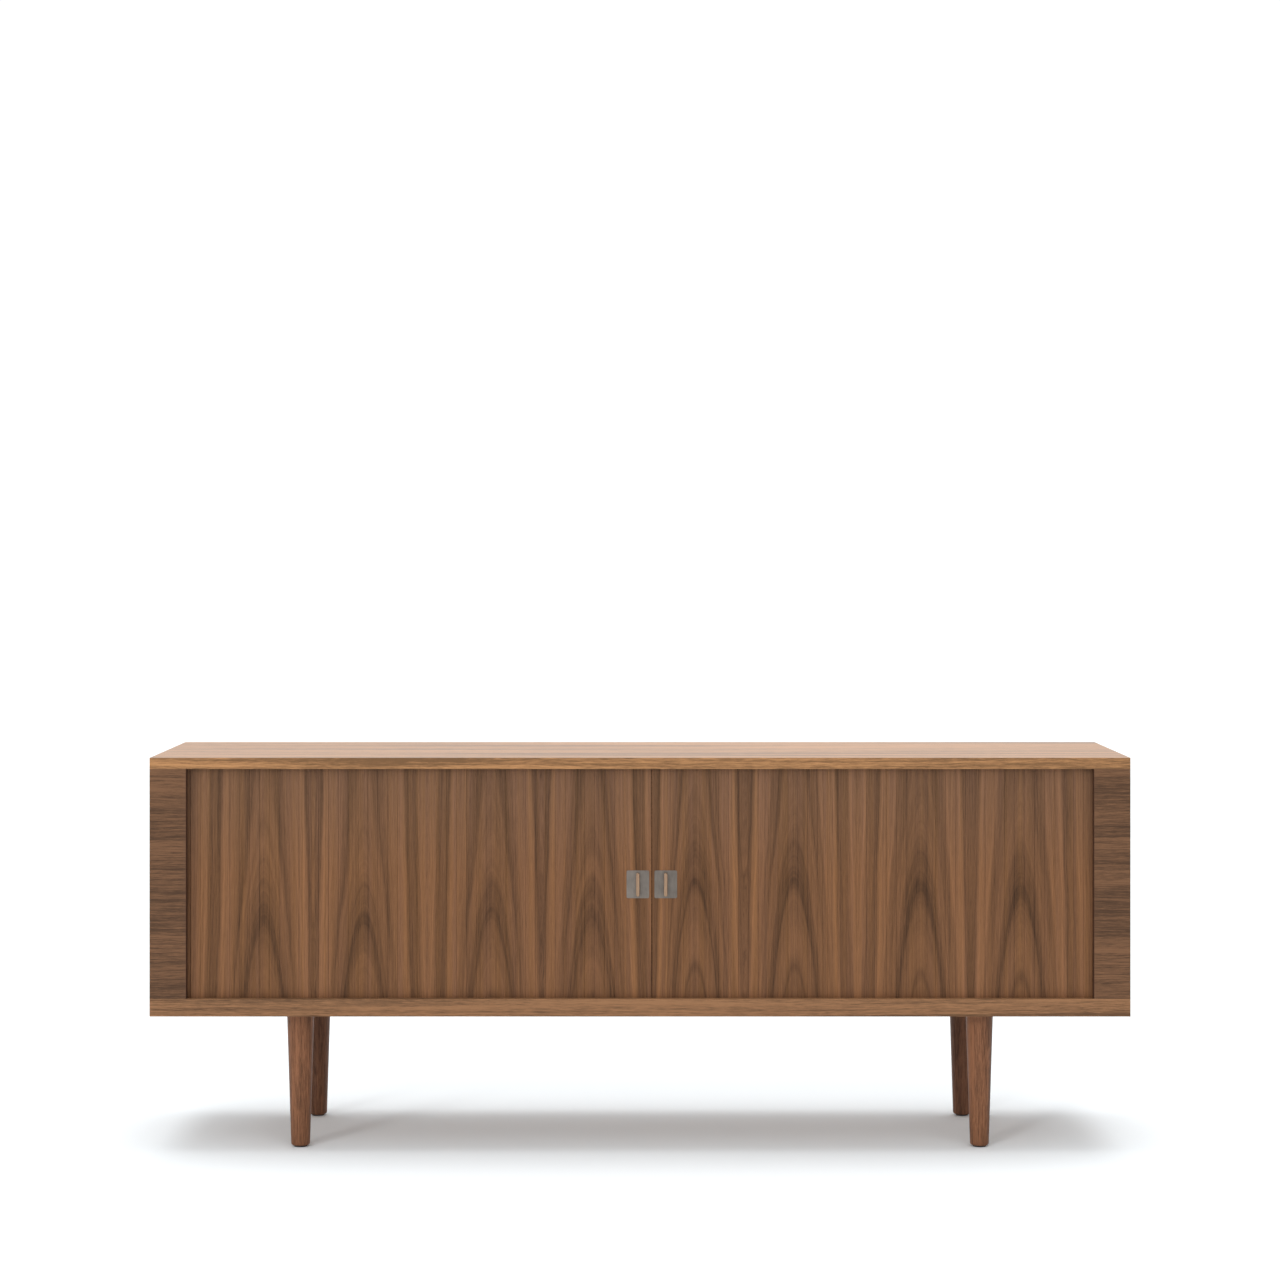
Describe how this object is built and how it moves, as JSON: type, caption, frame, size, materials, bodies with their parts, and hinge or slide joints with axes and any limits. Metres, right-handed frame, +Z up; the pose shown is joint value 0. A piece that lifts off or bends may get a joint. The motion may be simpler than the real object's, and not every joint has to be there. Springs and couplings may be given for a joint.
{
  "type": "sideboard",
  "caption": "Low wide sideboard with tambour doors that slide round the case's corners, inner cabinet with adjustable shelves, and round tapered legs",
  "frame": {"origin": "on the floor, under the middle of the case's bounding box", "axes": "+X to the right as seen from the front, the doors face -Y, +Z up"},
  "size_m": [1.945, 0.485, 0.784],
  "materials": {
    "case_walnut": "satin, grain along the piece",
    "top_walnut": "satin, catches the light from above",
    "door_walnut": "satin veneer, upright book-matched grain",
    "inner_walnut": "satin",
    "back_board": "plain veneer",
    "leg_walnut": "satin, grain along the leg",
    "beech": "bare",
    "zinc_steel": "zinc plated",
    "insert_steel": "plain",
    "glide_nylon": "matte",
    "canvas": "plain weave",
    "plate_steel": "brushed",
    "grip_oak": "oiled"
  },
  "bodies": {
    "carcass": {"top_panel": "top_walnut", "bottom_panel": "case_walnut", "left_end_panel": "case_walnut", "right_end_panel": "case_walnut", "left_front_stile": "case_walnut", "right_front_stile": "case_walnut", "outer_back_panel": "back_board", "inner_back_panel": "inner_walnut", "left_inner_side": "inner_walnut", "right_inner_side": "inner_walnut", "left_partition": "inner_walnut", "centre_partition": "inner_walnut", "right_partition": "inner_walnut", "shelf_1": "inner_walnut", "shelf_2": "inner_walnut", "shelf_3": "inner_walnut", "shelf_4": "inner_walnut", "shelf_pins": "zinc_steel", "track_stops": "beech", "carcass_dowels": "beech", "back_screws": "zinc_steel", "leg_front_left": "leg_walnut", "leg_front_right": "leg_walnut", "leg_back_left": "leg_walnut", "leg_back_right": "leg_walnut", "leg_bolts": "zinc_steel", "leg_inserts": "insert_steel", "foot_glides": "glide_nylon"},
    "left_door": {"left_lead_stile": "door_walnut", "left_slats": "door_walnut", "left_canvas": "canvas", "left_handle_plate": "plate_steel", "left_handle_grip": "grip_oak", "left_handle_screws": "zinc_steel"},
    "right_door": {"right_lead_stile": "door_walnut", "right_slats": "door_walnut", "right_canvas": "canvas", "right_handle_plate": "plate_steel", "right_handle_grip": "grip_oak", "right_handle_screws": "zinc_steel"}
  },
  "joints": [
    {"name": "left_door_slide", "type": "slide", "parent": "carcass", "child": "left_door", "axis": [-1, 0, 0], "range_m": [0, 0.869], "deforming": ["left_slats", "left_canvas"]},
    {"name": "right_door_slide", "type": "slide", "parent": "carcass", "child": "right_door", "axis": [1, 0, 0], "range_m": [0, 0.822], "deforming": ["right_slats", "right_canvas"]}
  ]
}
